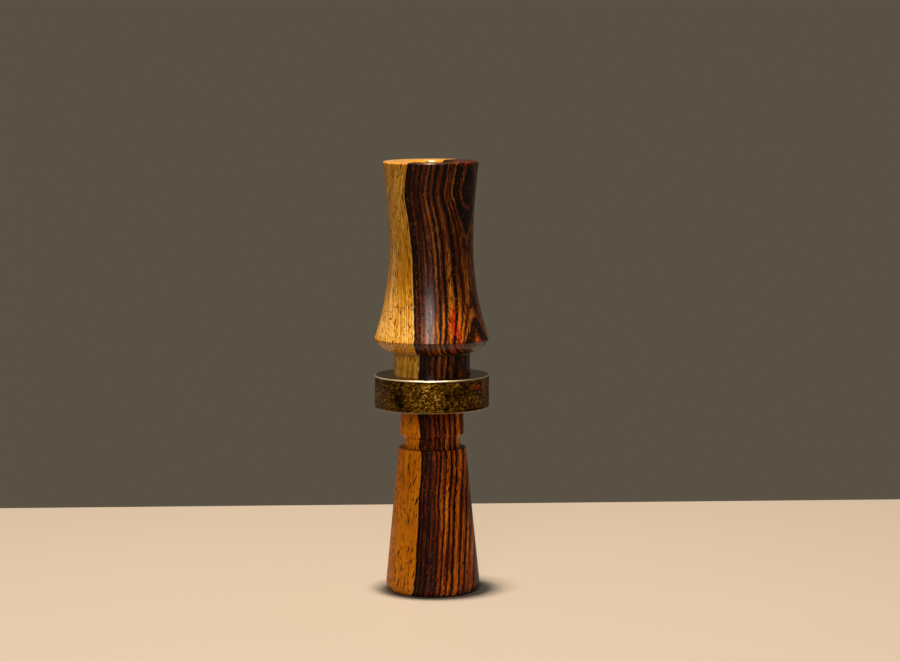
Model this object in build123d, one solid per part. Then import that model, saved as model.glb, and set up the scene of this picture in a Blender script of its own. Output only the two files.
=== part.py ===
from build123d import *
import os

# A turned hardwood duck call with a brass band, standing on the wide end of its insert.
# The barrel carries the band and slides down over the toneboard, which is glued into the insert,
# is sealed in the barrel by two O-rings, and holds two reeds under a cork wedge.
# Millimetres, +Z up, origin at the middle of the end it stands on; the reeds face -Y.

# The barrel's shoulder and the band are turned to one radius
widest_radius = 19.05

# Insert, from the end it stands on up to the shoulder that stops the barrel
base_radius = 15.95
base_round = 3.5
cone_length = 48.7
cone_top_radius = 11.2
cone_edge_round = 0.35
groove_radius = 9.35
groove_width = 3.3
groove_chamfer = 1.4
collar_low_radius = 10.7
collar_length = 8.7
collar_edge_round = 0.3
stop_width = 2.41

# Exhaust through the insert
exhaust_radius = 4.76
exhaust_flare_radius = 8.0
exhaust_flare_length = 18.0
exhaust_rim_round = 0.8

# Barrel, from its lower end up to the mouth
bore_radius = 7.94
bore_entry_chamfer = 0.5
neck_radius = 12.7
neck_length = 7.4
neck_round = 0.4
shoulder_under_height = 4.6
shoulder_under_bulge = 1.0
shoulder_round = 0.8
flare_length = 30.9
waist_radius = 13.95
mouth_length = 28.0
mouth_radius = 15.95
mouth_outer_round = 0.5
mouth_lip_round = 1.6

# Brass band round the barrel's lower end
band_height = 11.0
band_edge_round = 0.5
band_bore_chamfer = 0.2

# Toneboard
tail_radius = 6.35
tail_length = 19.0
seat_length = 12.0
seat_edge_chamfer = 0.4
slot_depth = 12.0
slot_height_inside = 3.0
slot_height_mouth = 3.6
tongue_relief = 0.2
tongue_length = 38.0
tongue_drop = 2.0
tongue_side_flat = 0.2
tongue_tip_round = 4.0
tone_bore_radius = 3.175
tone_land_length = 12.0

# O-rings on the toneboard's seat
ring_section = 1.78
ring_spacing = 5.0

# Reeds and the wedge that holds their tails
reed_thickness = 0.25
reed_edge_margin = 0.9
reed_tip_setback = 1.2
reed_tip_round = 2.6
upper_reed_setback = 1.0
wedge_side_margin = 0.35
wedge_overhang = 2.4
wedge_edge_round = 0.3

# Fits
glue_gap = 0.05
seat_clearance = 0.3
ring_clearance = 0.03
ring_side_room = 0.25
slot_end_room = 0.4

# Heights and radii that follow from the sizes above
groove_top_z = cone_length + groove_width
collar_low_z = groove_top_z + groove_chamfer
barrel_end_z = collar_low_z + collar_length
band_top_z = barrel_end_z + band_height
under_z = band_top_z + neck_length
shoulder_z = under_z + shoulder_under_height
waist_z = shoulder_z + flare_length
mouth_z = waist_z + mouth_length

collar_top_radius = bore_radius + stop_width
band_bore_radius = neck_radius + glue_gap
socket_radius = tail_radius + glue_gap
tail_end_z = barrel_end_z - tail_length
socket_floor_z = tail_end_z - glue_gap

seat_radius = bore_radius - seat_clearance
tongue_radius = seat_radius - tongue_relief
slot_floor_z = barrel_end_z + seat_length
slot_mouth_z = slot_floor_z + slot_depth
tip_z = slot_mouth_z + tongue_length
tone_end_z = tip_z - tone_land_length - tone_bore_radius

ring_radius = bore_radius - ring_clearance - ring_section / 2
ring_groove_radius = ring_radius - ring_section / 2 - ring_clearance
ring_groove_width = ring_section + 2 * ring_side_room
ring_middle_z = barrel_end_z + seat_length / 2
ring_heights = {
    "lower_o_ring": ring_middle_z - ring_spacing / 2,
    "upper_o_ring": ring_middle_z + ring_spacing / 2,
}

reed_low_z = slot_floor_z + slot_end_room
reed_width = 2 * (tongue_radius - reed_edge_margin)
reed_stack = 2 * reed_thickness
lower_reed_tip_z = tip_z - reed_tip_setback
upper_reed_tip_z = lower_reed_tip_z - upper_reed_setback
wedge_width = reed_width - 2 * wedge_side_margin
wedge_top_z = slot_mouth_z + wedge_overhang


def chain(*points):
    """Straight edges from point to point."""
    return [Line(a, b) for a, b in zip(points, points[1:])]


def turned(*edges):
    """A solid turned about Z from a closed outline of edges through (radius, height) points."""
    return revolve(Plane.XZ * make_face(edges), Axis.Z)


def rod(radius, low_z, high_z):
    """A cylinder about Z."""
    upright = (Align.CENTER, Align.CENTER, Align.MIN)
    return Pos(0, 0, low_z) * Cylinder(radius, high_z - low_z, align=upright)


def rims(solid, radius, height):
    """The round edges about Z at one radius and height of a solid."""
    near = 1e-4
    rounds = solid.edges().filter_by(GeomType.CIRCLE)
    level = [edge for edge in rounds if abs(edge.arc_center.Z - height) < near]
    return [edge for edge in level if abs(edge.radius - radius) < near]


def side_slab(half_width, *edges):
    """A slab across X from an outline of (y, z) points, as the toneboard is seen from its side."""
    return extrude(Plane.YZ * make_face(edges), half_width, both=True)


def strip_outline(width, low_z, high_z, corner_round):
    """A strip as seen from the front, with its two upper corners rounded."""
    outline = Pos(0, (low_z + high_z) / 2) * Rectangle(width, high_z - low_z)
    return Plane.XZ * fillet(outline.vertices().group_by(Axis.Y)[-1], corner_round)


def roof_y(height):
    """Where the slanting roof of the wedge slot stands in front of the reed bed, at one height."""
    share = (height - slot_floor_z) / slot_depth
    return -slot_height_inside - share * (slot_height_mouth - slot_height_inside)


def make_barrel():
    """Hollow mouth and waist, a wide shoulder, and a neck that runs on as the band's seat."""
    body = turned(
        *chain(
            (mouth_radius, mouth_z),
            (bore_radius, mouth_z),
            (bore_radius, barrel_end_z),
            (neck_radius, barrel_end_z),
            (neck_radius, under_z),
        ),
        SagittaArc((neck_radius, under_z), (widest_radius, shoulder_z), -shoulder_under_bulge),
        TangentArc((waist_radius, waist_z), (widest_radius, shoulder_z), tangent=(0, -1)),
        TangentArc((waist_radius, waist_z), (mouth_radius, mouth_z), tangent=(0, 1)),
    )
    body = chamfer(rims(body, bore_radius, barrel_end_z), bore_entry_chamfer)
    body = fillet(rims(body, bore_radius, mouth_z), mouth_lip_round)
    body = fillet(rims(body, mouth_radius, mouth_z), mouth_outer_round)
    body = fillet(rims(body, widest_radius, shoulder_z), shoulder_round)
    return fillet(rims(body, neck_radius, under_z), neck_round)


def make_band():
    """A plain ring with rounded outer edges, glued round the barrel's neck."""
    body = rod(widest_radius, barrel_end_z, band_top_z) - rod(band_bore_radius, barrel_end_z, band_top_z)
    for height in (barrel_end_z, band_top_z):
        body = chamfer(rims(body, band_bore_radius, height), band_bore_chamfer)
        body = fillet(rims(body, widest_radius, height), band_edge_round)
    return body


def make_insert():
    """A cone that flares down to the end it stands on, a cord groove, and a collar with a socket."""
    body = turned(
        *chain(
            (exhaust_flare_radius, 0),
            (base_radius, 0),
            (cone_top_radius, cone_length),
            (groove_radius, cone_length),
            (groove_radius, groove_top_z),
            (collar_low_radius, collar_low_z),
            (collar_top_radius, barrel_end_z),
            (socket_radius, barrel_end_z),
            (socket_radius, socket_floor_z),
            (exhaust_radius, socket_floor_z),
            (exhaust_radius, exhaust_flare_length),
            (exhaust_flare_radius, 0),
        )
    )
    body = fillet(rims(body, base_radius, 0), base_round)
    body = fillet(rims(body, exhaust_flare_radius, 0), exhaust_rim_round)
    body = fillet(rims(body, cone_top_radius, cone_length), cone_edge_round)
    body = fillet(rims(body, collar_low_radius, collar_low_z), collar_edge_round)
    return fillet(rims(body, collar_top_radius, barrel_end_z), collar_edge_round)


def make_tongue():
    """A half round with flatted sides, whose reed bed bends away from the reeds to a rounded tip."""
    behind = 2 * tongue_radius
    bed = side_slab(
        bore_radius,
        *chain((tongue_drop, tip_z), (behind, tip_z), (behind, slot_mouth_z), (0, slot_mouth_z)),
        TangentArc((0, slot_mouth_z), (tongue_drop, tip_z), tangent=(0, 1)),
    )
    tongue_width = 2 * (tongue_radius - tongue_side_flat)
    front = strip_outline(tongue_width, slot_mouth_z, tip_z, tongue_tip_round)
    return rod(tongue_radius, slot_mouth_z, tip_z) & bed & extrude(front, behind, both=True)


def make_wedge_slot():
    """The slot right across the toneboard that takes the reeds' tails and the wedge."""
    low = (0, slot_floor_z), (roof_y(slot_floor_z), slot_floor_z)
    high = (roof_y(slot_mouth_z), slot_mouth_z), (0, slot_mouth_z)
    return side_slab(bore_radius, *chain(*low, *high, low[0]))


def make_toneboard():
    """A tail for the insert's socket, a grooved seat, a slotted block and a tongue with a tone channel."""
    tail = rod(tail_radius, tail_end_z, barrel_end_z)
    seat = rod(seat_radius, barrel_end_z, slot_mouth_z)
    seat = chamfer(rims(seat, seat_radius, slot_mouth_z), seat_edge_chamfer)
    body = tail + (seat - make_wedge_slot()) + make_tongue()
    body -= rod(tone_bore_radius, tail_end_z, tone_end_z)
    body -= Pos(0, 0, tone_end_z) * Sphere(tone_bore_radius)
    for height in ring_heights.values():
        low_z = height - ring_groove_width / 2
        high_z = height + ring_groove_width / 2
        body -= rod(bore_radius, low_z, high_z) - rod(ring_groove_radius, low_z, high_z)
    return body


def make_o_ring(height):
    """A ring of round section that just clears the barrel's bore."""
    return Pos(0, 0, height) * Torus(ring_radius, ring_section / 2)


def make_reed(back_y, reed_tip_z):
    """A flat strip of film with rounded tip corners, its back on the plane y = back_y."""
    outline = strip_outline(reed_width, reed_low_z, reed_tip_z, reed_tip_round)
    return Pos(0, back_y, 0) * extrude(outline, reed_thickness)


def make_wedge():
    """A tapered block between the reeds and the slot's roof, trimmed to the toneboard's round."""
    low = (-reed_stack, reed_low_z), (roof_y(reed_low_z), reed_low_z)
    high = (roof_y(wedge_top_z), wedge_top_z), (-reed_stack, wedge_top_z)
    block = side_slab(wedge_width / 2, *chain(*low, *high, low[0]))
    block &= rod(tongue_radius, reed_low_z, wedge_top_z)
    return fillet(block.edges().group_by(Axis.Z)[-1], wedge_edge_round)


parts = {
    "barrel": make_barrel(),
    "band": make_band(),
    "insert": make_insert(),
    "toneboard": make_toneboard(),
    "lower_reed": make_reed(0, lower_reed_tip_z),
    "upper_reed": make_reed(-reed_thickness, upper_reed_tip_z),
    "wedge": make_wedge(),
}
for name, height in ring_heights.items():
    parts[name] = make_o_ring(height)

os.makedirs("parts", exist_ok=True)
for name, solid in parts.items():
    solid.label = name
    export_step(solid, f"parts/{name}.step")
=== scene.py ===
import bpy
import bmesh
import math
import numpy as np
from functools import partial
from mathutils import Euler, Matrix, Vector


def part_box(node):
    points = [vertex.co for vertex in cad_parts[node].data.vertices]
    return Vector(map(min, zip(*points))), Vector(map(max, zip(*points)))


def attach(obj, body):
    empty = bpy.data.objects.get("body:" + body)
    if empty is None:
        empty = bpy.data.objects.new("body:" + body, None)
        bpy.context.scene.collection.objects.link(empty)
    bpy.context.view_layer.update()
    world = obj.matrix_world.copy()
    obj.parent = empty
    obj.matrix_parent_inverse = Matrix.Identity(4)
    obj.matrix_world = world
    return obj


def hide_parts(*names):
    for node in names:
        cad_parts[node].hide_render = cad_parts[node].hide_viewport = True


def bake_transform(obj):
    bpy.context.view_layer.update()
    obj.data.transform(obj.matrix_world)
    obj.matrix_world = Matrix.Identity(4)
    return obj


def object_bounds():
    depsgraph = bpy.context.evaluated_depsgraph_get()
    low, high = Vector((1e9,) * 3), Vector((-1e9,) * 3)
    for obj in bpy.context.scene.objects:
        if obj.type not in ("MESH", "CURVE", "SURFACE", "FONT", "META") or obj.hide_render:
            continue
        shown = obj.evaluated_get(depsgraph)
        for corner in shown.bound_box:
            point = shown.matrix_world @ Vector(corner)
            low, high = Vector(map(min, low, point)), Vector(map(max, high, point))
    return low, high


# A turned hardwood duck call with a brass band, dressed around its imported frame.
# Shapes are worked out in millimetres about the call's axis, +Z up, and go into meshes in metres.

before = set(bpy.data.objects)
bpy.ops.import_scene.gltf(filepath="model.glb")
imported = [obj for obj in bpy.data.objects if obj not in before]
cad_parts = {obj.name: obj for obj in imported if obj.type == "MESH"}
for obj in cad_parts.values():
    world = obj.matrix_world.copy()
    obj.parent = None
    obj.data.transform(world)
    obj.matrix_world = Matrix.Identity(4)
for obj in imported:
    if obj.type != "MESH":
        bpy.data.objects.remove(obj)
cadBox = [list(corner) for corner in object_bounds()]
mm = 0.001
glueGap = 0.05         # mm between pieces that are glued together
mergeDistance = 1e-7   # m, for points that meet where a shape closes
sharpAngle = 35.0      # degrees; edges that turn further are shaded sharp
print("frame loaded, CAD box", cadBox)


def linear(hexColour):
    # sRGB hex to linear light, channel by channel, with alpha 1
    channels = np.array([int(hexColour[i:i + 2], 16) for i in (1, 3, 5)]) / 255
    curve = ((channels + 0.055) / 1.055) ** 2.4
    return (*np.where(channels <= 0.04045, channels / 12.92, curve).tolist(), 1.0)


def grey(level):
    # a linear grey of one level, with alpha 1
    return (level, level, level, 1.0)


def shades(places, colours):
    # stops of a colour ramp: each hex colour at its place
    return [(place, linear(colour)) for place, colour in zip(places, colours)]


def addNode(tree, kind, inputs=None, stops=None, **settings):
    # one node: settings first, then each input gets a constant, a socket or a node's first live output
    node = tree.nodes.new("ShaderNode" + kind)
    for name, value in settings.items():
        setattr(node, name, value)
    for key, value in (inputs or {}).items():
        if isinstance(value, bpy.types.Node):
            value = next(socket for socket in value.outputs if socket.enabled)
        if isinstance(value, bpy.types.NodeSocket):
            tree.links.new(value, node.inputs[key])
        else:
            node.inputs[key].default_value = value
    if stops and kind == "ValToRGB":
        elements = node.color_ramp.elements
        for element, stop in zip(elements, (stops[0], stops[-1])):
            element.position, element.color = stop
        for place, colour in stops[1:-1]:
            elements.new(place).color = colour
    if stops and kind == "FloatCurve":
        points = node.mapping.curves[0].points
        for point, stop in zip(points, (stops[0], stops[-1])):
            point.location = stop
        for place in stops[1:-1]:
            points.new(*place)
        node.mapping.update()
    return node


def freshNodes(holder):
    # empties the node tree of a material or world and gives back addNode for it
    holder.use_nodes = True
    holder.node_tree.nodes.clear()
    return partial(addNode, holder.node_tree)


def addSurface(add, look, colour, rough, height=None):
    # one Principled shader is the whole surface: colour, roughness, the look's constants for the finish,
    # and a bump where there is a height
    inputs = {"Base Color": colour, "Roughness": rough, **look["finish"]}
    if height is not None:
        inputs["Normal"] = add("Bump", {"Height": height, **look["relief"]})
    add("OutputMaterial", {"Surface": add("BsdfPrincipled", inputs)})


def pointOn(add):
    # the point on the piece in mm, from its Object coordinates
    place = add("TexCoord").outputs["Object"]
    return add("VectorMath", {0: place, "Scale": 1 / mm}, operation="SCALE")


def ovalAway(add, point, middle, reach):
    # how far a point lies from the middle of an oval, with 1 at the oval's edge
    away = add("VectorMath", {0: point, 1: middle}, operation="SUBTRACT")
    away = add("VectorMath", {0: away, 1: reach}, operation="DIVIDE")
    return add("VectorMath", {0: away}, operation="LENGTH")


def filleted(runs, arcPoints=11, support=0.15):
    # a closed outline of runs of (radius, height) points, each with the fillet at its first point;
    # a fillet is an exact arc, a weighted parabola between the points where it touches both sides,
    # and a support point beside each of its ends keeps the flats next to it flat in the shading
    runs = [(np.atleast_2d(points), fillet) for points, fillet in runs]
    outline = np.vstack([points for points, _ in runs] + [runs[0][0][:1]])
    walked = np.append(0, np.cumsum(np.hypot(*np.diff(outline, axis=0).T)))
    starts = np.cumsum([0] + [len(points) for points, _ in runs[:-1]])
    kept = []
    reached = -1.0
    for start, (_, fillet) in zip(starts, runs):
        if not fillet:
            continue
        before = outline[start] - outline[start - 1]
        after = outline[start + 1] - outline[start]
        cosTurn = before @ after / np.linalg.norm(before) / np.linalg.norm(after)
        trim = fillet * math.sqrt((1 - cosTurn) / (1 + cosTurn))
        weight = math.sqrt((1 + cosTurn) / 2)
        low, high = walked[start] - trim, walked[start] + trim
        ends = np.array([low - support * trim, low, high, high + support * trim])
        touch = np.stack([np.interp(ends, walked, outline[:, axis]) for axis in (0, 1)], 1)
        t = np.linspace(0, 1, arcPoints)[:, None]
        share = np.hstack([(1 - t) ** 2, 2 * weight * t * (1 - t), t ** 2])
        arc = share @ np.array([touch[1], outline[start], touch[2]]) / share.sum(1, keepdims=True)
        kept += [outline[(walked > reached) & (walked < ends[0])], touch[:1], arc, touch[3:]]
        reached = ends[3]
    kept.append(outline[:-1][walked[:-1] > reached])
    return np.vstack(kept)


def straight(start, end, count):
    # count points from start towards end, which belongs to the next run
    return np.linspace(start, end, count, endpoint=False)


def bulged(start, end, bulge, count):
    # a circular arc between two points that stands out by bulge to the right of the way, end left out
    start, end = np.array(start), np.array(end)
    chord = end - start
    along = chord / np.linalg.norm(chord)
    outward = np.array([along[1], -along[0]])
    half = np.linalg.norm(chord) / 2
    radius = (half ** 2 + bulge ** 2) / (2 * bulge)
    turn = np.linspace(-1, 1, count, endpoint=False)[:, None] * math.asin(half / radius)
    centre = (start + end) / 2 + outward * (bulge - radius)
    return centre + radius * (outward * np.cos(turn) + along * np.sin(turn))


def turned(outline, segments, relief=0.0):
    # the outline carried once round the axis: rows are outline points, columns are angles
    angle = np.linspace(0, 2 * np.pi, segments, endpoint=False)
    radius = outline[:, :1] + relief
    height = outline[:, 1:] + 0 * angle
    return np.stack([radius * np.cos(angle), radius * np.sin(angle), height], -1)


def addPiece(name, grid, material, wrapRows=True, wrapColumns=True, **values):
    # a mesh whose quads join neighbours of a grid of points, closed across the rows or columns that wrap;
    # each further value is an array of the grid's shape and becomes an attribute of the points
    rows, columns = grid.shape[:2]
    row = np.arange(rows if wrapRows else rows - 1)[:, None]
    column = np.arange(columns if wrapColumns else columns - 1)[None, :]
    nextRow, nextColumn = (row + 1) % rows, (column + 1) % columns
    corners = [row * columns + column, row * columns + nextColumn,
               nextRow * columns + nextColumn, nextRow * columns + column]
    quads = np.stack(corners, -1).reshape(-1, 4)
    mesh = bpy.data.meshes.new(name)
    mesh.from_pydata((grid.reshape(-1, 3) * mm).tolist(), [], quads.tolist())
    for attribute, array in values.items():
        store = mesh.attributes.new(attribute, "FLOAT", "POINT")
        store.data.foreach_set("value", array.ravel().astype(np.float32))
    shell = bmesh.new()
    shell.from_mesh(mesh)
    bmesh.ops.remove_doubles(shell, verts=shell.verts, dist=mergeDistance)
    bmesh.ops.recalc_face_normals(shell, faces=shell.faces)
    shell.to_mesh(mesh)
    shell.free()
    mesh.shade_smooth()
    mesh.set_sharp_from_angle(angle=math.radians(sharpAngle))
    mesh.materials.append(material)
    piece = bpy.data.objects.new(name, mesh)
    bpy.context.scene.collection.objects.link(piece)
    return piece


# Turned tropical hardwood, sanded and buffed to a satin gloss: golden sapwood on one side, brown heartwood
# with near-black growth lines on the other, and open pores that run along the grain
grainCells = {   # size of each pattern's cell in mm: across the rings, along the rings, up the grain
    "sway": (14.0, 14.0, 45.0),
    "wave": (50.0, 4.0, 13.0),
    "jag": (3.0, 0.8, 2.4),
    "bead": (1.2, 0.5, 0.8),
    "cloud": (4.0, 6.0, 22.0),
    "line": (0.42, 5.0, 30.0),
    "fibre": (0.34, 0.6, 3.2),   # real fibres are far finer; this is as fine as the render shows
    "vessel": (0.9, 1.0, 6.5),
    "pore": (0.55, 0.6, 2.8),
    "fleck": (0.5, 0.55, 1.3),
}
hardwoodLook = {   # what barrel and insert have in common; From, To and numbered keys are a node's sockets
    "shifts": {"sway": 0.8, "wave": 1.0, "jag": 0.45, "bead": 0.4},   # how far each moves the rings, mm
    "details": {"wave": 2.0, "jag": 1.0, "bead": 1.0, "cloud": 2.0, "line": 2.0, "fibre": 2.0},
    "clouding": {1: 1.8, 2: 1.05},   # how much the clouds change a ring's tone, and about which middle
    "thread": {"From Min": -0.17, "From Max": -0.05},   # noise where a thread is full and where it is gone
    "edgeLine": {"From Min": -0.45, "From Max": -1.0, "To Min": 0.06},   # depths, mm, and the line's tone
    "sapEdge": {"From Min": -0.06, "From Max": 0.06},   # depths, mm
    "streaks": 1.3,                      # how much lines and fibres change the tone
    "heartStreaks": {1: 0.8, 2: 0.12},   # how much of that pale heartwood shows, and even the darkest
    # how much clouds and the painted light for each height change the sapwood's tone, and a fixed shift of it
    "sapClouds": 0.8, "sapPaintedLight": 0.7, "sapShade": -0.2,
    "heartPlaces": (0.0, 0.2, 0.45, 0.75, 1.0), "sapPlaces": (0.05, 0.5, 0.95),   # tone of each colour
    "blazeTone": {"From Min": 0.1, "From Max": 0.45}, "blazeFade": {"From Min": 1.0, "From Max": 0.2},
    # width of a spot in its cell, least chance that shows it, and how much it minds the height's pores
    "spots": {"vessel": (0.27, 0.25, 1.0), "pore": (0.30, 0.2, 1.0), "fleck": (0.28, 0.55, 0.3)},
    "spotCore": 0.7, "spotFade": 0.4, "clustering": 1.8, "fleckShare": 0.8,
    "endFacing": {"From Min": 0.75, "From Max": 0.97, "To Max": 0.75},   # slanting, square, how far the end colour, with its painted light, takes over
    "roughness": {"To Min": 0.45, "To Max": 0.75},   # buffed wood, open pores
    "relief": {"Strength": 0.25, "Distance": 0.05 * mm},
}
barrelWood = {
    "pith": (50.6, -31.1, 0.0),          # middle of the growth rings, mm, beside the call
    "alongRing": (0.524, 0.852, 0.0),
    "ringRadius": 60.0,                  # pith to the edge of the sapwood, mm
    "poreSlope": 0.0,                    # how much more the pores slant across the rings than the lines do
    # height, and how far the sapwood's edge leans out there, mm
    "lean": [(62, -1.6), (77, -2.3), (84, -2.6), (95, -1.95), (106, -0.7), (115, -0.1), (125, 0.9),
             (132, 2.0), (134, 2.2), (136, 1.9), (144, 0.4)],
    # height, and how much lighter or darker the wood is painted there: painted light and shade, lighter on
    # the flare above the shoulder, which faces up to the overhead lamp, a little lighter on the neck in the
    # shoulder's shade, and darker at the top
    "light": [(62, 1.08), (79, 1.08), (84.4, 0.95), (86, 1.3), (92, 1.22), (104, 1.08), (128, 1.02),
              (144, 0.88)],
    # height, and how many more pores than usual are open there
    "pores": [(62, 0.1), (85, 0.2), (100, 0.1), (115, 0.15), (130, 0.0), (144, 0.05)],
    # depth of each growth line, mm, how dark it is, and the tone of the wood from it to the next
    "lines": [0.0, 1.8, 3.4, 5.2, 6.9, 8.5, 10.1, 12.7, 14.0, 14.8, 15.6, 16.5, 17.3, 18.6],
    "strengths": [1, 0.7, 0.6, 1, 0.6, 1, 0.9, 1, 0.6, 0.7, 1, 0.3, 0.9, 1],
    "tones": [0.22, 0.3, 0.42, 0.46, 0.58, 0.57, 0.5, 0.6, 0.58, 0.58, 0.05, 0.5, 0.24],
    "lineShare": 0.30,                   # share of a ring that its dark line takes
    # middle and reach of each red flame, mm, and its strength
    "blazes": [((7.9, -15.6, 91.0), (2.7, 2.7, 14.0), 1.0), ((11.0, -11.5, 144.0), (4.0, 4.0, 2.0), 0.55),
               ((16.4, -9.6, 87.0), (4.2, 4.2, 5.0), 0.25)],
    "blazeColour": "#B42002",
    "sapwood": ("#925608", "#BE8009", "#E2B45C"),
    "heartwood": ("#040100", "#240900", "#5E2604", "#9E5A0C", "#C88820"),
    "sapPore": "#542A0C", "heartPore": "#060200", "fleck": "#9A5C16",
    "threads": 0.5,                      # what is left of the wood's tone in a thin dark thread
    "endGrainAndPaintedLight": ("#2C1006", "#9A7A4C"),  # heart, sap; sawn end grain drinks the finish and is duller, and the sap end is a greyer, creamier tan that paints the lamp's sheen on the mouth's rim
    "finish": {"Specular IOR Level": 0.06, "Coat Weight": 0.45, "Coat Roughness": 0.22},
}
insertWood = {
    "pith": (54.3, 0.0, 0.0),
    "alongRing": (0.0, 1.0, 0.0),
    "ringRadius": 60.0,
    "poreSlope": 0.14,
    "lean": [(0, 2.3), (8.5, 1.45), (24, 0.05), (34, -0.5), (41, -1.2), (47.5, -1.36), (56, -0.9),
             (62, -0.7)],
    # height, and how much lighter or darker the wood is painted there: a little darker towards the bottom
    "light": [(0, 0.94), (20, 0.98), (62, 1.0)],
    "pores": [(0, 0.1), (5, 0.35), (12, 0.3), (18, -0.25), (25, -0.3), (31, 0.1), (38, 0.35), (46, 0.3),
              (62, 0.15)],
    "lines": [0.0, 1.55, 3.1, 5.2, 6.5, 8.4, 10.3, 12.2, 14.9, 16.9, 18.8, 21.0, 23.4, 26.0],
    "strengths": [1, 0.7, 0.9, 0.7, 1, 0.8, 0.9, 1, 0.8, 1, 0.6, 0.9, 0.6, 1],
    "tones": [0.27, 0.34, 0.34, 0.38, 0.52, 0.82, 0.66, 0.86, 0.64, 0.62, 0.6, 0.5, 0.6],
    "lineShare": 0.27,
    "blazes": [((12.0, -9.0, 6.0), (4.0, 4.0, 9.0), 1.0)],
    "blazeColour": "#8C3A04",
    "sapwood": ("#8E4600", "#BA6900", "#D2840A"),
    "heartwood": ("#040100", "#2C0900", "#6E2802", "#B85E04", "#DA820C"),
    "sapPore": "#180800", "heartPore": "#060200", "fleck": "#985212",
    "threads": 0.62,
    # heart, sap; the sap end is dark to paint the shade in the groove on the cone's top ledge
    "endGrainAndPaintedLight": ("#1C0A04", "#5A3A1A"),
    "finish": {"Specular IOR Level": 0.06, "Coat Weight": 0.1, "Coat Roughness": 0.22},
}


def heightCurve(add, height, curve, reach=5.0):
    # a smooth curve through points of height and value; its node works from 0 to 1, which stands for the
    # heights from the first point to the last and for values from minus to plus reach
    low, high = curve[0][0], curve[-1][0]
    stops = [((z - low) / (high - low), 0.5 + value / (2 * reach)) for z, value in curve]
    upShare = add("MapRange", {"Value": height, "From Min": low, "From Max": high})
    share = add("FloatCurve", {"Value": upShare}, stops)
    return add("MapRange", {"Value": share, "To Min": -reach, "To Max": reach})


def woodSpace(add, point, lean, look):
    # depth across the rings, minus in the heartwood, and the way along a ring, both swayed by noise
    aside = hardwoodLook["shifts"]["sway"]
    swayAt = add("VectorMath", {0: point, 1: grainCells["sway"]}, operation="DIVIDE")
    sway = add("TexNoise", {"Vector": swayAt, "Scale": 1.0, "Detail": 1.0}).outputs["Color"]
    swayed = add("VectorMath", {0: sway, 1: (aside, aside, 0), 2: point}, operation="MULTIPLY_ADD")
    fromPith = add("VectorMath", {0: swayed, 1: look["pith"]}, operation="SUBTRACT")
    flat = add("VectorMath", {0: fromPith, 1: (1, 1, 0)}, operation="MULTIPLY")
    distance = add("VectorMath", {0: flat}, operation="LENGTH")
    upright = add("Math", {0: distance, 1: look["ringRadius"]}, operation="SUBTRACT")
    depth = add("Math", {0: upright, 1: lean}, operation="SUBTRACT")
    across = add("VectorMath", {0: swayed, 1: look["alongRing"]}, operation="DOT_PRODUCT")
    return depth, across


def growthRings(add, ragged, look):
    # a curve turns depth into a ring number, whose fraction places the dark line;
    # each line has a strength and each stretch of wood between two lines a tone
    lines, width = look["lines"], look["lineShare"]
    deepest, count = lines[-1], len(lines) - 1
    inward = add("MapRange", {"Value": ragged, "From Min": 0.0, "From Max": -deepest})
    ringShare = add("FloatCurve", {"Value": inward},
                    [(at / deepest, index / count) for index, at in enumerate(lines)])
    ring = add("Math", {0: ringShare, 1: count}, operation="MULTIPLY")
    within = add("Math", {0: ring}, operation="FRACT")
    line = add("ValToRGB", {"Fac": within},
               [(0.0, grey(0.0)), (0.35 * width, grey(0.04)), (0.8 * width, grey(0.75)), (0.5, grey(1.0)),
                (1 - width, grey(0.75)), (1 - 0.4 * width, grey(0.1)), (1.0, grey(0.0))])
    strength = add("ValToRGB", {"Fac": ringShare},
                   [(index / count, grey(value)) for index, value in enumerate(look["strengths"])])
    line = add("Mix", {0: strength, 2: 1.0, 3: line})
    between = add("ValToRGB", {"Fac": ringShare},
                  [((index + 0.5) / count, grey(tone)) for index, tone in enumerate(look["tones"])])
    return add("Math", {0: line, 1: between}, operation="MULTIPLY")


def heartwoodColour(add, point, ragged, noise, streak, light, look):
    # tone: rings, clouded along the grain and painted lighter or darker for each height, crossed by thin dark
    # threads and streaked, then turned into browns
    wood = hardwoodLook
    clouded = add("Math", {0: noise["cloud"], **wood["clouding"]}, operation="MULTIPLY_ADD")
    clouded = add("Math", {0: clouded, 1: light}, operation="MULTIPLY")
    thread = add("MapRange", {"Value": noise["line"], "To Min": look["threads"], **wood["thread"]})
    # the first of the heartwood, beside the sapwood, is a black line of its own
    edge = add("MapRange", {"Value": ragged, **wood["edgeLine"]})
    ringTone = growthRings(add, ragged, look)
    for factor in (clouded, thread, edge):
        ringTone = add("Math", {0: ringTone, 1: factor}, operation="MULTIPLY")
    share = add("Math", {0: ringTone, **wood["heartStreaks"]}, operation="MULTIPLY_ADD")
    tone = add("Math", {0: streak, 1: share, 2: ringTone}, operation="MULTIPLY_ADD", use_clamp=True)
    heart = add("ValToRGB", {"Fac": tone}, shades(wood["heartPlaces"], look["heartwood"]))
    # red flames, each strongest in the middle of its own oval
    blazeTone = add("MapRange", {"Value": tone, **wood["blazeTone"]})
    for centre, reach, strength in look["blazes"]:
        away = ovalAway(add, point, centre, reach)
        blaze = add("MapRange", {"Value": away, "To Max": strength, **wood["blazeFade"]})
        blaze = add("Math", {0: blaze, 1: blazeTone}, operation="MULTIPLY")
        heart = add("Mix", {0: blaze, 6: heart, 7: linear(look["blazeColour"])}, data_type="RGBA")
    return heart


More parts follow.
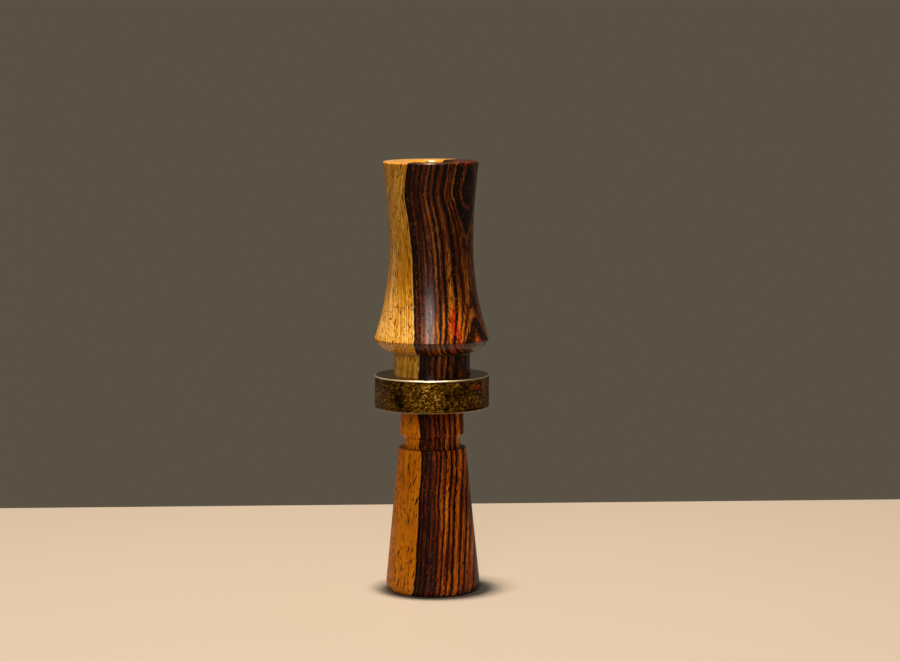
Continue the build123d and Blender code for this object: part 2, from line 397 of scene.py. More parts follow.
def woodSpots(add, space, cloud, pores):
    # spots are the middles of stretched cells; they come in clusters, and some are left out
    wood = hardwoodLook
    shown = {}
    for pattern, (width, least, byHeight) in wood["spots"].items():
        at = add("VectorMath", {0: space, 1: grainCells[pattern]}, operation="DIVIDE")
        cell = add("TexVoronoi", {"Vector": at, "Scale": 1.0})
        core = wood["spotCore"] * width
        spot = add("MapRange", {"Value": cell, "From Min": width, "From Max": core})
        chance = add("SeparateColor", {0: cell.outputs["Color"]}).outputs["Red"]
        chance = add("Math", {0: cloud, 1: wood["clustering"], 2: chance}, operation="MULTIPLY_ADD")
        chance = add("Math", {0: pores, 1: byHeight, 2: chance}, operation="MULTIPLY_ADD")
        sure = least + wood["spotFade"]
        kept = add("MapRange", {"Value": chance, "From Min": least, "From Max": sure})
        shown[pattern] = add("Math", {0: spot, 1: kept}, operation="MULTIPLY")
    return shown


def hardwoodMaterial(name, look):
    # heartwood and sapwood on either side of a leaning edge, painted lighter or darker by height, with an end
    # colour on the ends that is duller and partly painted light, and open pores over both
    wood = hardwoodLook
    material = bpy.data.materials.new(name)
    add = freshNodes(material)
    point = pointOn(add)
    height = add("SeparateXYZ", {0: point}).outputs["Z"]
    lean, light, pores = (heightCurve(add, height, look[curve]) for curve in ("lean", "light", "pores"))
    depth, across = woodSpace(add, point, lean, look)
    space = add("CombineXYZ", {0: depth, 1: across, 2: height})
    noise = {}
    for pattern, detail in wood["details"].items():
        at = add("VectorMath", {0: space, 1: grainCells[pattern]}, operation="DIVIDE")
        value = add("TexNoise", {"Vector": at, "Scale": 1.0, "Detail": detail})
        noise[pattern] = add("Math", {0: value, 1: 0.5}, operation="SUBTRACT")
    # waves and jags move the sapwood's edge and the growth lines, and beads make the lines ragged
    jagged = depth
    for pattern in ("wave", "jag"):
        jagged = add("Math", {0: noise[pattern], 1: wood["shifts"][pattern], 2: jagged},
                     operation="MULTIPLY_ADD")
    ragged = add("Math", {0: noise["bead"], 1: wood["shifts"]["bead"], 2: jagged}, operation="MULTIPLY_ADD")
    streak = add("Math", {0: noise["line"], 1: wood["streaks"]}, operation="MULTIPLY")
    streak = add("Math", {0: noise["fibre"], 1: wood["streaks"], 2: streak}, operation="MULTIPLY_ADD")
    heart = heartwoodColour(add, point, ragged, noise, streak, light, look)
    sapTone = add("Math", {0: noise["cloud"], 1: wood["sapClouds"], 2: streak}, operation="MULTIPLY_ADD")
    # the painted light for each height lightens or darkens the sapwood
    sapTone = add("Math", {0: light, 1: wood["sapPaintedLight"], 2: sapTone}, operation="MULTIPLY_ADD")
    sapTone = add("Math", {0: sapTone, 1: wood["sapShade"]}, operation="ADD", use_clamp=True)
    sap = add("ValToRGB", {"Fac": sapTone}, shades(wood["sapPlaces"], look["sapwood"]))
    isSap = add("MapRange", {"Value": jagged, **wood["sapEdge"]})
    colour = add("Mix", {0: isSap, 6: heart, 7: sap}, data_type="RGBA")

    # pores and vessels are dark; flecks show gold in the dark wood and as dark dots in the sapwood
    slanted = add("Math", {0: height, 1: look["poreSlope"], 2: depth}, operation="MULTIPLY_ADD")
    poreSpace = add("CombineXYZ", {0: slanted, 1: across, 2: height})
    shown = woodSpots(add, poreSpace, noise["cloud"], pores)
    isHeart = add("Math", {0: wood["fleckShare"], 1: isSap}, operation="SUBTRACT", use_clamp=True)
    fleck = add("Math", {0: shown["fleck"], 1: isHeart}, operation="MULTIPLY")
    colour = add("Mix", {0: fleck, 6: colour, 7: linear(look["fleck"])}, data_type="RGBA")
    dot = add("Math", {0: shown["fleck"], 1: isSap}, operation="MULTIPLY")
    hole = add("Math", {0: shown["pore"], 1: shown["vessel"]}, operation="MAXIMUM")
    hole = add("Math", {0: hole, 1: dot}, operation="MAXIMUM")
    poreColour = add("Mix", {0: isSap, 6: linear(look["heartPore"]), 7: linear(look["sapPore"])},
                     data_type="RGBA")
    # faces square to the grain take the end colour: duller end grain, with a painted sheen on the barrel's
    # rim and painted shade on the insert's ledge
    facing = add("SeparateXYZ", {0: add("TexCoord").outputs["Normal"]}).outputs["Z"]
    facing = add("Math", {0: facing}, operation="ABSOLUTE")
    isEnd = add("MapRange", {"Value": facing, **wood["endFacing"]})
    heartEnd, sapEndAndPaintedLight = (linear(end) for end in look["endGrainAndPaintedLight"])
    endAndPaintedLightColour = add("Mix", {0: isSap, 6: heartEnd, 7: sapEndAndPaintedLight}, data_type="RGBA")
    colour = add("Mix", {0: isEnd, 6: colour, 7: endAndPaintedLightColour}, data_type="RGBA")
    colour = add("Mix", {0: hole, 6: colour, 7: poreColour}, data_type="RGBA")

    rough = add("MapRange", {"Value": hole, **wood["roughness"]})
    relief = add("Math", {0: noise["fibre"], 1: hole}, operation="SUBTRACT")
    addSurface(add, {**wood, **look}, colour, rough, relief)
    return material


# Barrel: mouth, waist, shoulder and neck, hollow right through
barrelLook = {
    "boreRadius": 7.94, "entryChamfer": 0.5, "neckRadius": 12.7, "neckLength": 7.4, "neckRound": 0.4,
    "underHeight": 4.6, "underBulge": 1.0, "shoulderRadius": 19.05, "shoulderRound": 0.8,
    "waistRadius": 13.95, "flareLength": 30.9, "mouthRadius": 15.95, "outerRound": 0.5, "lipRound": 1.6,
    "segments": 360, "points": {"mouth": 60, "flare": 70, "under": 24, "neck": 14},
}


def barrelOutline(look):
    # up the bore, over the lip, down two arcs that meet upright at the waist, under the shoulder and
    # down the neck
    low, top = (corner.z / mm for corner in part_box("barrel"))
    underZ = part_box("band")[1].z / mm + look["neckLength"]
    shoulderZ = underZ + look["underHeight"]
    waistZ = shoulderZ + look["flareLength"]
    points = look["points"]

    def flare(endRadius, endZ, heights):
        # a circle that is upright at the waist and passes through the end
        rise, length = endRadius - look["waistRadius"], endZ - waistZ
        radius = (rise ** 2 + length ** 2) / (2 * rise)
        away = look["waistRadius"] + radius - np.sqrt(radius ** 2 - (heights - waistZ) ** 2)
        return np.stack([away, heights], 1)

    neck, bore, shoulder = look["neckRadius"], look["boreRadius"], look["shoulderRadius"]
    chamfer = look["entryChamfer"]
    upper = flare(look["mouthRadius"], top, straight(top, waistZ, points["mouth"]))
    lower = flare(shoulder, shoulderZ, straight(waistZ, shoulderZ, points["flare"]))
    under = bulged((neck, underZ), (shoulder, shoulderZ), look["underBulge"], points["under"])
    under = np.vstack([[shoulder, shoulderZ], under[:0:-1]])
    return filleted([
        ((bore, (low + top) / 2), 0),
        ((bore, top), look["lipRound"]),
        (np.vstack([upper, lower]), look["outerRound"]),
        (under, look["shoulderRound"]),
        (straight((neck, underZ), (neck, low), points["neck"]), look["neckRound"]),
        ([(neck, low), (bore + chamfer, low), (bore, low + chamfer)], 0),
    ])


barrel = addPiece("barrel_hardwood", turned(barrelOutline(barrelLook), barrelLook["segments"]),
                  hardwoodMaterial("barrelHardwood", barrelWood))
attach(barrel, "barrel")
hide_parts("barrel")
print("barrel", len(barrel.data.polygons), "faces")

# Insert: flared cone, cord groove and collar, drilled through and bored for the toneboard's tail
insertLook = {
    "exhaustRadius": 4.76, "exhaustFlareRadius": 8.0, "exhaustFlareLength": 18.0, "exhaustRound": 0.8,
    "baseRadius": 15.95, "baseRound": 3.5, "coneLength": 48.7, "coneTopRadius": 11.2, "coneRound": 0.35,
    "grooveRadius": 9.35, "grooveWidth": 3.3, "grooveChamfer": 1.4, "collarLowRadius": 10.7,
    "collarTopRadius": 10.35, "collarRound": 0.3, "socketRadius": 6.4, "innerRound": 0.08,
    "segments": 360, "points": {"exhaust": 12, "cone": 48, "collar": 10},
}


def insertOutline(look):
    # down the exhaust and its flare, round the base, up the cone, into the groove, over the collar
    # and down the socket
    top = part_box("insert")[1].z / mm
    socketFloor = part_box("toneboard")[0].z / mm - glueGap
    exhaust, socket, groove = look["exhaustRadius"], look["socketRadius"], look["grooveRadius"]
    flareTop, flareEnd = (exhaust, look["exhaustFlareLength"]), (look["exhaustFlareRadius"], 0)
    base, coneTop = (look["baseRadius"], 0), (look["coneTopRadius"], look["coneLength"])
    grooveTop = look["coneLength"] + look["grooveWidth"]
    collarLow = (look["collarLowRadius"], grooveTop + look["grooveChamfer"])
    collarTop = (look["collarTopRadius"], top)
    inner, points = look["innerRound"], look["points"]
    return filleted([
        ((exhaust, (look["exhaustFlareLength"] + socketFloor) / 2), 0),
        (straight(flareTop, flareEnd, points["exhaust"]), 0),
        (flareEnd, look["exhaustRound"]),
        (straight(base, coneTop, points["cone"]), look["baseRound"]),
        (coneTop, look["coneRound"]),
        ((groove, look["coneLength"]), inner),
        ((groove, grooveTop), inner),
        (straight(collarLow, collarTop, points["collar"]), look["collarRound"]),
        (collarTop, look["collarRound"]),
        ((socket, top), inner),
        ((socket, socketFloor), inner),
        ((exhaust, socketFloor), inner),
    ])


insert = addPiece("insert_hardwood", turned(insertOutline(insertLook), insertLook["segments"]),
                  hardwoodMaterial("insertHardwood", insertWood))
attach(insert, "insert")
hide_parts("insert")
print("insert", len(insert.data.polygons), "faces")

# Antiqued brass tube, coarsely abraded and darkened: a grainy side of dark olive patina with gold strokes,
# black blotches and copper stains, a top rim rubbed back to bright metal and a duller lower one
bandLook = {
    "edgeRound": 0.5, "boreChamfer": 0.2, "segments": 720, "sideStep": 0.17,
    "grain": (0.7, 3.0), "grainDepth": 0.025,   # finest and coarsest grain, mm, and its depth, mm
    "grainLean": (0.35, 0.1), "grainSqueeze": 1.3, "grainTop": 2.0, "runOut": 0.3, "seed": 11,
    "cells": {"cloud": 4.0, "speck": 0.7, "blotch": 1.8},   # mm
    "latheMark": (9.0, 9.0, 0.32),              # cell of the marks that run round, mm
    # tone: its middle, what the grain adds to it, more in the painted highlights, and what the patterns add
    "tone": 0.36, "grainTone": 0.1, "paintedHighlightGrain": 0.09, "paintedHighlightTone": 0.12,
    "toneShares": {"cloud": 0.8, "speck": 0.5, "lathe": 0.5},
    "patina": ("#0E0701", "#3C2505", "#7A550E", "#CC9C36", "#FFEBB0"),
    "patinaPlaces": (0.05, 0.28, 0.5, 0.74, 1.0),
    # the faces' metal colour is darkened to paint a dark reflection on them
    "blotch": "#0A0601", "copper": "#DC641C", "polish": "#F2E2BC", "face": "#7E6C4C",
    "smallBlotch": {"From Min": 0.14, "From Max": 0.22, "To Max": 0.8},
    "copperGain": 2.0, "lowRim": 0.3,           # strength of the copper stains and of the lower rim's buffing
    "rim": 0.45, "rimBlur": 0.1, "rimFray": 0.25, "faceEdge": (0.2, 0.4),   # mm
    "sideRoughness": {"To Min": 0.55, "To Max": 0.3}, "rimRoughness": 0.4, "faceRoughness": 0.3,
    "finish": {"Metallic": 1.0},
    # middle and reach of each mark on the side, mm, and how much noise frays each kind
    "blotches": [((-11.0, -15.5, 65.8), (2.3, 2.3, 3.6)), ((5.3, -18.3, 68.0), (1.9, 1.9, 1.2)),
                 ((4.7, -18.5, 64.0), (1.2, 1.2, 1.0))],
    "coppers": [((14.4, -12.5, 70.1), (2.6, 2.6, 0.8)), ((17.3, -8.0, 70.2), (1.8, 2.4, 1.8))],
    # two painted highlights: lighter patches on the side that faces the camera and the front lamp, and on the
    # back
    "rubs": [((-2.0, -18.9, 67.5), (9.0, 9.0, 7.0)), ((6.0, 18.0, 67.5), (9.0, 9.0, 7.0))],
    "frays": {"blotches": 3.0, "coppers": 4.0, "rubs": 0.8},
    "markFade": {"From Min": 1.1, "From Max": 0.2, "To Max": 0.9},
}


def grainRelief(rows, columns, step, look):
    # random heights on a side unrolled flat, with only the waves between the finest and coarsest grain kept
    random = np.random.default_rng(look["seed"]).normal(size=(rows, columns))
    upWaves = np.fft.fftfreq(rows, step[0])[:, None]
    roundWaves = np.fft.fftfreq(columns, step[1])[None, :]
    # waves that run round are squeezed out sooner, so the grain is drawn out round the band, and it leans
    lean, crossLean = look["grainLean"]
    waves = np.hypot(upWaves + lean * roundWaves, look["grainSqueeze"] * roundWaves - crossLean * upWaves)
    finest, coarsest = look["grain"]
    kept = np.exp(-(waves * finest) ** 2) * (1 - np.exp(-(waves * coarsest) ** 2))
    relief = np.fft.ifft2(np.fft.fft2(random) * kept).real
    return relief / relief.std()


def brassMarks(add, point, blotchNoise, look):
    # a mark fades from its middle to its reach, and noise frays it
    marks = {}
    for kind, fray in look["frays"].items():
        marks[kind] = 0.0
        for middle, reach in look[kind]:
            away = ovalAway(add, point, middle, reach)
            away = add("Math", {0: blotchNoise, 1: fray, 2: away}, operation="MULTIPLY_ADD")
            inMark = add("MapRange", {"Value": away, **look["markFade"]})
            marks[kind] = add("Math", {0: marks[kind], 1: inMark}, operation="MAXIMUM")
    return marks


def brassMaterial(name, low, high, radius, look):
    # a patina whose tone follows the grain, stained and blotched, under buffed rims and faces
    material = bpy.data.materials.new(name)
    add = freshNodes(material)
    point = pointOn(add)
    relief = add("Attribute", attribute_name="grainHeight").outputs["Fac"]
    noise = {}
    for pattern, cell in look["cells"].items():
        value = add("TexNoise", {"Vector": point, "Scale": 1 / cell, "Detail": 4.0, "Roughness": 0.65})
        noise[pattern] = add("Math", {0: value, 1: 0.5}, operation="SUBTRACT")
    latheAt = add("VectorMath", {0: point, 1: look["latheMark"]}, operation="DIVIDE")
    lathe = add("TexNoise", {"Vector": latheAt, "Scale": 1.0, "Detail": 2.0})
    noise["lathe"] = add("Math", {0: lathe, 1: 0.5}, operation="SUBTRACT")
    marks = brassMarks(add, point, noise["blotch"], look)

    # tone: high spots of the grain are rubbed to gold, hollows keep the dark patina, and the painted
    # highlights lighten it and bring out the grain
    amount = add("Math", {0: marks["rubs"], 1: look["paintedHighlightGrain"], 2: look["grainTone"]},
                 operation="MULTIPLY_ADD")
    tone = add("Math", {0: relief, 1: amount, 2: look["tone"]}, operation="MULTIPLY_ADD")
    for pattern, share in look["toneShares"].items():
        tone = add("Math", {0: noise[pattern], 1: share, 2: tone}, operation="MULTIPLY_ADD")
    tone = add("Math", {0: marks["rubs"], 1: look["paintedHighlightTone"], 2: tone}, operation="MULTIPLY_ADD",
               use_clamp=True)
    patina = add("ValToRGB", {"Fac": tone}, shades(look["patinaPlaces"], look["patina"]))
    stained = add("Math", {0: marks["coppers"], 1: tone}, operation="MULTIPLY")
    stained = add("Math", {0: stained, 1: look["copperGain"]}, operation="MULTIPLY", use_clamp=True)
    patina = add("Mix", {0: stained, 6: patina, 7: linear(look["copper"])}, data_type="RGBA")
    small = add("MapRange", {"Value": noise["blotch"], **look["smallBlotch"]})
    black = add("Math", {0: small, 1: marks["blotches"]}, operation="MAXIMUM")
    patina = add("Mix", {0: black, 6: patina, 7: linear(look["blotch"])}, data_type="RGBA")

    # buffed: along the top edge, less along the lower one, and all that faces up, down or in, whose metal is
    # darkened to paint a dark reflection
    height = add("SeparateXYZ", {0: point}).outputs["Z"]
    flat = add("VectorMath", {0: point, 1: (1, 1, 0)}, operation="MULTIPLY")
    fromAxis = add("VectorMath", {0: flat}, operation="LENGTH")
    half, blur = (high - low) / 2, look["rimBlur"]
    rim = half - look["rim"]
    fromMid = add("Math", {0: height, 1: (low + high) / 2}, operation="SUBTRACT")
    frayed = add("Math", {0: noise["speck"], 1: look["rimFray"], 2: fromMid}, operation="MULTIPLY_ADD")
    topRim = add("MapRange", {"Value": frayed, "From Min": rim - blur, "From Max": rim + blur})
    lowRim = add("MapRange", {"Value": frayed, "From Min": -rim, "From Max": -half,
                              "To Max": look["lowRim"]})
    outer, inner = (radius - inset for inset in look["faceEdge"])
    inside = add("MapRange", {"Value": fromAxis, "From Min": outer, "From Max": inner})
    buffed = add("Math", {0: topRim, 1: inside}, operation="MAXIMUM")
    buffed = add("Math", {0: buffed, 1: lowRim}, operation="MAXIMUM")
    metal = add("Mix", {0: inside, 6: linear(look["polish"]), 7: linear(look["face"])}, data_type="RGBA")
    colour = add("Mix", {0: buffed, 6: patina, 7: metal}, data_type="RGBA")
    dull = add("MapRange", {"Value": tone, **look["sideRoughness"]})
    edge = add("Mix", {0: topRim, 2: dull, 3: look["rimRoughness"]})
    rough = add("Mix", {0: inside, 2: edge, 3: look["faceRoughness"]})
    addSurface(add, look, colour, rough)
    return material


def bandOutline(look, low, high, radius, bore):
    # up the outside, over the rim, in across the top face, down the bore and back
    chamfer, edge = look["boreChamfer"], look["edgeRound"]
    count = int((high - low) / look["sideStep"])
    side = straight((radius, low), (radius, high), count)
    return filleted([
        (side[count // 2:], 0),
        ((radius, high), edge),
        ([(bore + chamfer, high), (bore, high - chamfer), (bore, low + chamfer), (bore + chamfer, low)], 0),
        (side[:count // 2], edge),
    ])


bandLow, bandHigh = (corner.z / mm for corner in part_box("band"))
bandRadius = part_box("band")[1].x / mm
outline = bandOutline(bandLook, bandLow, bandHigh, bandRadius, barrelLook["neckRadius"] + glueGap)
onSide = np.isclose(outline[:, 0], bandRadius)
unrolled = (bandLook["sideStep"], 2 * np.pi * bandRadius / bandLook["segments"])
sideGrain = np.zeros((len(outline), bandLook["segments"]))
sideOrder = np.flatnonzero(onSide)[np.argsort(outline[onSide, 1])]
sideGrain[sideOrder] = grainRelief(len(sideOrder), bandLook["segments"], unrolled, bandLook)
# the grain only cuts in, and runs out before the rims
fromRim = np.minimum(outline[:, 1] - bandLow, bandHigh - outline[:, 1])[:, None]
runOut = np.clip((fromRim - bandLook["edgeRound"]) / bandLook["runOut"], 0, 1)
cut = bandLook["grainDepth"] * np.minimum(sideGrain - bandLook["grainTop"], 0) * runOut
band = addPiece("band_antique_brass", turned(outline, bandLook["segments"], cut),
                brassMaterial("bandBrass", bandLow, bandHigh, bandRadius, bandLook),
                grainHeight=sideGrain * runOut)
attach(band, "barrel")
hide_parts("band")
print("band", len(band.data.polygons), "faces")

# Black acetal, turned and milled: dense, slightly waxy, with fine tool marks round the axis
toneboardLook = {
    "colours": ("#060607", "#242428"), "places": (0.12, 0.45),
    "toolMark": (6.0, 6.0, 0.55),   # cell, mm; a real cutter's marks are far finer, this is as fine as shows
    "rub": (1.6, 1.6, 5.0),         # cell of the handling marks, mm
    "roughness": {"From Min": 0.3, "From Max": 0.7, "To Min": 0.28, "To Max": 0.46},
    "relief": {"Strength": 0.5, "Distance": 0.06 * mm}, "finish": {"IOR": 1.48},
}


def acetalMaterial(name, look):
    # tool marks times rubbing give the shade, rubbing the gloss and tool marks the relief
    material = bpy.data.materials.new(name)
    add = freshNodes(material)
    point = pointOn(add)
    markAt = add("VectorMath", {0: point, 1: look["toolMark"]}, operation="DIVIDE")
    mark = add("TexNoise", {"Vector": markAt, "Scale": 1.0, "Detail": 2.0})
    rubAt = add("VectorMath", {0: point, 1: look["rub"]}, operation="DIVIDE")
    rub = add("TexNoise", {"Vector": rubAt, "Scale": 1.0, "Detail": 4.0, "Roughness": 0.65})
    both = add("Math", {0: mark, 1: rub}, operation="MULTIPLY")
    colour = add("ValToRGB", {"Fac": both}, shades(look["places"], look["colours"]))
    rough = add("MapRange", {"Value": rub, **look["roughness"]})
    addSurface(add, look, colour, rough, mark)
    return material


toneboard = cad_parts["toneboard"]
toneboard.material_slots[0].material = acetalMaterial("toneboardAcetal", toneboardLook)
print("toneboard in black acetal")

# Black nitrile rubber, moulded: matt, faintly grey where it has been handled, with a thin parting line
ringLook = {
    "colours": ("#0B0B0C", "#222224"), "places": (0.4, 0.75), "bloom": 1.2,   # cell of the grey bloom, mm
    "roughness": {"To Min": 0.4, "To Max": 0.75},
    "relief": {"Strength": 0.2, "Distance": 0.02 * mm}, "finish": {"IOR": 1.52},
    "partingHeight": 0.012, "partingWidth": 0.08, "section": 40, "segments": 160,
}


def nitrileMaterial(name, look):
    # one noise, the bloom on the rubber, gives shade, gloss and relief
    material = bpy.data.materials.new(name)
    add = freshNodes(material)
    bloom = add("TexNoise", {"Vector": pointOn(add), "Scale": 1 / look["bloom"], "Detail": 5.0,
                             "Roughness": 0.7})
    colour = add("ValToRGB", {"Fac": bloom}, shades(look["places"], look["colours"]))
    rough = add("MapRange", {"Value": bloom, **look["roughness"]})
    addSurface(add, look, colour, rough, bloom)
    return material


def ringGrid(node, look):
    # a circle with a small ridge on its inside and outside, carried round the axis
    low, high = (np.array(corner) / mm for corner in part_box(node))
    section = (high[2] - low[2]) / 2
    turn = np.linspace(0, 2 * np.pi, look["section"], endpoint=False)
    ridge = look["partingHeight"] * np.exp(-(np.sin(turn) / look["partingWidth"]) ** 2)
    radius = high[0] - section + (section + ridge) * np.cos(turn)
    return turned(np.stack([radius, (low[2] + high[2]) / 2 + section * np.sin(turn)], 1), look["segments"])


nitrile = nitrileMaterial("ringNitrile", ringLook)
for node in ("lower_o_ring", "upper_o_ring"):
    ring = addPiece(node + "_nitrile", ringGrid(node, ringLook), nitrile)
    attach(ring, "seals")
    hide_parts(node)
print("O-rings set in their grooves")

# Clear polyester film, die-cut: glassy and faintly milky, with a frosted grain from the sheet's rolling
reedLook = {
    "colours": ("#DCE3E0", "#F2F5F3"), "places": (0.35, 0.65), "rolling": (0.5, 0.5, 9.0),   # cell, mm
    "roughness": {"From Min": 0.3, "From Max": 0.7, "To Min": 0.12, "To Max": 0.26},
    "relief": {"Strength": 0.15, "Distance": 0.01 * mm}, "finish": {"IOR": 1.58, "Transmission Weight": 0.7},
    "tipRound": 2.6, "rows": 64, "tipRows": 16, "columns": 25,
}


def filmMaterial(name, look):
    # one noise, drawn out along the reed, gives milkiness, gloss and relief
    material = bpy.data.materials.new(name)
    add = freshNodes(material)
    rollAt = add("VectorMath", {0: pointOn(add), 1: look["rolling"]}, operation="DIVIDE")
    roll = add("TexNoise", {"Vector": rollAt, "Scale": 1.0, "Detail": 3.0})
    colour = add("ValToRGB", {"Fac": roll}, shades(look["places"], look["colours"]))
    rough = add("MapRange", {"Value": roll, **look["roughness"]})
    addSurface(add, look, colour, rough, roll)
    return material


def reedGrid(node, look):
    # rows climb the reed, columns go round its flat section; the width runs in on a quarter circle at the
    # tip, and a last row of no thickness closes each end
    low, high = (np.array(corner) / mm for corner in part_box(node))
    tip = look["tipRound"]
    tipLow = high[2] - tip
    climb = np.append(straight(low[2], tipLow, look["rows"]),
                      tipLow + tip * np.sin(np.linspace(0, np.pi / 2, look["tipRows"])))
    climb = np.concatenate([climb[:1], climb, climb[-1:]])[:, None]
    inTip = np.maximum(climb - tipLow, 0)
    half = high[0] - tip + np.sqrt(np.maximum(tip ** 2 - inTip ** 2, 0))
    across = np.linspace(-1, 1, look["columns"])
    across = np.append(across, across[::-1])
    side = np.repeat([low[1], high[1]], look["columns"])
    thick = np.ones_like(climb)
    thick[[0, -1]] = 0
    middle = (low[1] + high[1]) / 2
    return np.stack(np.broadcast_arrays(half * across, middle + thick * (side - middle), climb), -1)


film = filmMaterial("reedFilm", reedLook)
for node in ("lower_reed", "upper_reed"):
    reed = addPiece(node + "_film", reedGrid(node, reedLook), film, wrapRows=False)
    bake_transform(reed)
    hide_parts(node)

# Natural cork, knife-cut: tan grains of different shades, with dark open pits
wedgeLook = {
    "lowFront": -3.02,                    # the front at its lower end, under the slot's roof, mm
    "edgeRound": 0.3, "corner": 0.04,     # round of the upper edges, mm, and of the section, as a share
    "rows": 60, "roundRows": 7, "endRows": 6, "endStart": 0.95, "widthPoints": 40, "sidePoints": 14,
    "pits": 70, "pitSize": (0.18, 0.5), "pitDepth": 0.16, "pitCore": 2.0, "seed": 5,   # sizes in mm
    "colours": ("#8A5C30", "#B98B58", "#D2AC7C"), "places": (0.35, 0.7, 1.0), "pit": "#4A2A14",
    "grain": 0.75, "fineGrain": 0.35, "grainShare": 0.5,   # cells in mm, and how much a grain's shade counts
    "roughness": {"To Min": 0.7, "To Max": 0.95},
    "relief": {"Strength": 0.4, "Distance": 0.06 * mm}, "finish": {"IOR": 1.45, "Sheen Weight": 0.1},
}


def corkMaterial(name, look):
    # each grain has a shade of its own, fine noise mottles it, and the pits are dark
    material = bpy.data.materials.new(name)
    add = freshNodes(material)
    point = pointOn(add)
    grain = add("TexVoronoi", {"Vector": point, "Scale": 1 / look["grain"]})
    shade = add("SeparateColor", {0: grain.outputs["Color"]}).outputs["Green"]
    fine = add("TexNoise", {"Vector": point, "Scale": 1 / look["fineGrain"], "Detail": 4.0,
                            "Roughness": 0.7})
    tone = add("Math", {0: shade, 1: look["grainShare"], 2: fine}, operation="MULTIPLY_ADD")
    cork = add("ValToRGB", {"Fac": tone}, shades(look["places"], look["colours"]))
    hollow = add("Attribute", attribute_name="pit").outputs["Fac"]
    colour = add("Mix", {0: hollow, 6: cork, 7: linear(look["pit"])}, data_type="RGBA")
    rough = add("MapRange", {"Value": fine, **look["roughness"]})
    addSurface(add, look, colour, rough, tone)
    return material


def wedgeGrid(look):
    # a rounded section carried up the wedge while its front slants out; the ends close in on their middles,
    # and each pit pushes the points around it inwards
    low, high = (np.array(corner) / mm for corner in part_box("wedge"))
    edge, ends, corner = look["edgeRound"], look["endRows"], look["corner"]
    width, side = look["widthPoints"], look["sidePoints"]
    section = filleted([
        (straight((0, 1), (1, 1), width // 2), 0), (straight((1, 1), (1, -1), side), corner),
        (straight((1, -1), (-1, -1), width), corner), (straight((-1, -1), (-1, 1), side), corner),
        (straight((-1, 1), (0, 1), width // 2), corner),
    ])
    edgeLow = high[2] - edge
    turn = np.linspace(0, np.pi / 2, look["roundRows"])
    climb = np.concatenate([np.full(ends, low[2]), np.linspace(low[2], edgeLow, look["rows"])[1:-1],
                            edgeLow + edge * np.sin(turn), np.full(ends, high[2])])[:, None]
    inset = np.concatenate([np.zeros(ends + look["rows"] - 2), edge * (1 - np.cos(turn)),
                            np.full(ends, edge)])[:, None]
    shrink = np.ones_like(climb)
    closing = np.linspace(0, look["endStart"], ends)[:, None]
    shrink[:ends], shrink[-ends:] = closing, closing[::-1]
    # the front follows the slot's roof, from its inner to its outer height
    front, back = np.interp(climb, [low[2], high[2]], [look["lowFront"], low[1]]), high[1]
    x = (high[0] - inset) * shrink * section[:, 0]
    y = (front + back) / 2 + ((back - front) / 2 - inset) * shrink * section[:, 1]
    grid = np.stack([x, y, np.broadcast_to(climb, x.shape)], -1)
    random = np.random.default_rng(look["seed"])
    chosen = random.integers(0, grid.size // 3, look["pits"])
    size = random.uniform(*look["pitSize"], look["pits"])
    away = np.linalg.norm(grid.reshape(-1, 1, 3) - grid.reshape(-1, 3)[chosen], axis=-1) / size
    pit = np.exp(-away ** 2).max(1).reshape(x.shape)
    # inwards is towards the wedge's middle line, which stops short of both ends
    core = np.clip(grid[..., 2], low[2] + look["pitCore"], high[2] - look["pitCore"])
    inward = np.stack([0 * x, y.mean(1, keepdims=True) + 0 * y, core], -1) - grid
    inward /= np.linalg.norm(inward, axis=-1, keepdims=True)
    return grid + look["pitDepth"] * pit[..., None] * inward, pit


corkGrid, corkPits = wedgeGrid(wedgeLook)
wedge = addPiece("wedge_cork", corkGrid, corkMaterial("wedgeCork", wedgeLook), wrapRows=False, pit=corkPits)
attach(wedge, "insert")
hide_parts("wedge")
print("wedge", len(wedge.data.polygons), "faces")

# Floor, light and camera
stageLook = {
    "halfWidth": 195.0, "depth": (-195.0, 174.0), "points": 9,
    "turn": 0.034,   # the floor lies a little turned, so its far edge rises to the right
    "drop": 0.05,    # mm below the call, so that the two faces don't meet
    "floor": "#989187", "roughness": 0.6, "finish": {},
    "backdrop": "#5A5145", "ambient": "#FFF2E0", "ambientLevel": 0.05,
}
floorMaterial = bpy.data.materials.new("paleFloor")
addSurface(freshNodes(floorMaterial), stageLook, linear(stageLook["floor"]), stageLook["roughness"])
floorX, floorY = np.meshgrid(np.linspace(-1, 1, stageLook["points"]) * stageLook["halfWidth"],
                             np.linspace(*stageLook["depth"], stageLook["points"]))
floorY = floorY + stageLook["turn"] * floorX
floor = addPiece("floor", np.stack([floorX, floorY, 0 * floorX - stageLook["drop"]], -1), floorMaterial,
                 wrapRows=False, wrapColumns=False)

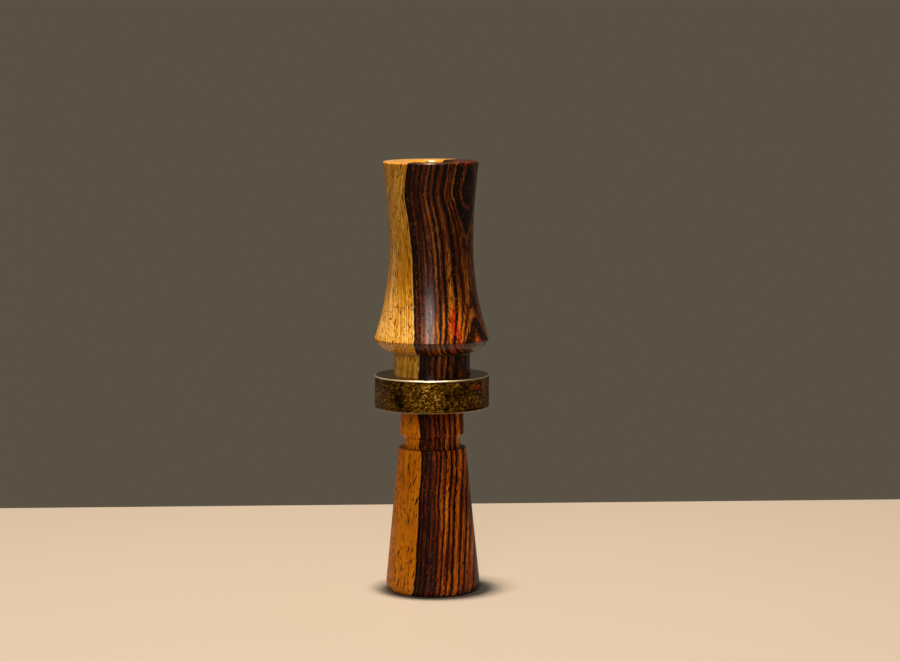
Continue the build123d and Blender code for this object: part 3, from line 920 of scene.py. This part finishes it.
# the camera, reflections and the clear film see the backdrop; all else is lit by a dim ambient light
world = bpy.data.worlds.new("studio")
bpy.context.scene.world = world
add = freshNodes(world)
ambient = add("Background", {"Color": linear(stageLook["ambient"]), "Strength": stageLook["ambientLevel"]})
backdrop = add("Background", {"Color": linear(stageLook["backdrop"]), "Strength": 1.0})
ray = add("LightPath").outputs
seen = add("Math", {0: ray["Is Camera Ray"], 1: ray["Is Glossy Ray"]}, operation="MAXIMUM")
seen = add("Math", {0: seen, 1: ray["Is Transmission Ray"]}, operation="MAXIMUM")
choice = add("MixShader", {0: seen, 1: ambient, 2: backdrop})
add("OutputWorld", {"Surface": choice})

# place and size in metres, power in watts
lamps = {
    "overheadSoftbox": {"place": (-0.024, -0.05, 1.15), "size": (0.11, 0.09), "power": 31.0,
                        "colour": "#FFEAD2"},
    "frontSoftbox": {"place": (-0.08, -1.05, 0.57), "size": (0.34, 0.42), "power": 4.9, "colour": "#FFF8F0"},
    "leftSoftbox": {"place": (-1.0, -0.3, 0.6), "size": (0.8, 0.35), "power": 1.1, "colour": "#FFEAD2"},
    "leftStrip": {"place": (-0.85, 0.53, 0.3), "size": (0.1, 0.6), "power": 0.6, "colour": "#FFEAD2"},
}
target = Vector((0, 0, cadBox[1][2] / 2))
for name, lamp in lamps.items():
    source = bpy.data.lights.new(name, "AREA")
    source.shape = "RECTANGLE"
    source.size, source.size_y = lamp["size"]
    source.energy = lamp["power"]
    source.color = linear(lamp["colour"])[:3]
    box = bpy.data.objects.new(name, source)
    box.location = lamp["place"]
    box.rotation_euler = (target - box.location).to_track_quat("-Z", "Y").to_euler()
    bpy.context.scene.collection.objects.link(box)

# fitted to the photograph: place in metres, pitch and roll in degrees, lens and sensor in mm
cameraLook = {"place": (0.0061, -0.990, 0.196), "pitch": 6.257, "roll": -0.24, "lens": 119.83,
              "sensor": 36.0}
lens = bpy.data.cameras.new("camera")
lens.sensor_fit, lens.sensor_width, lens.lens = "HORIZONTAL", cameraLook["sensor"], cameraLook["lens"]
camera = bpy.data.objects.new("camera", lens)
camera.location = cameraLook["place"]
level = Euler((math.radians(90 - cameraLook["pitch"]), 0, 0)).to_matrix()
camera.rotation_euler = (level @ Matrix.Rotation(math.radians(cameraLook["roll"]), 3, "Z")).to_euler()
bpy.context.scene.collection.objects.link(camera)
bpy.context.scene.camera = camera
bpy.context.scene.view_settings.view_transform = "Standard"
print("floor, lamps and camera set")

bpy.context.view_layer.update()
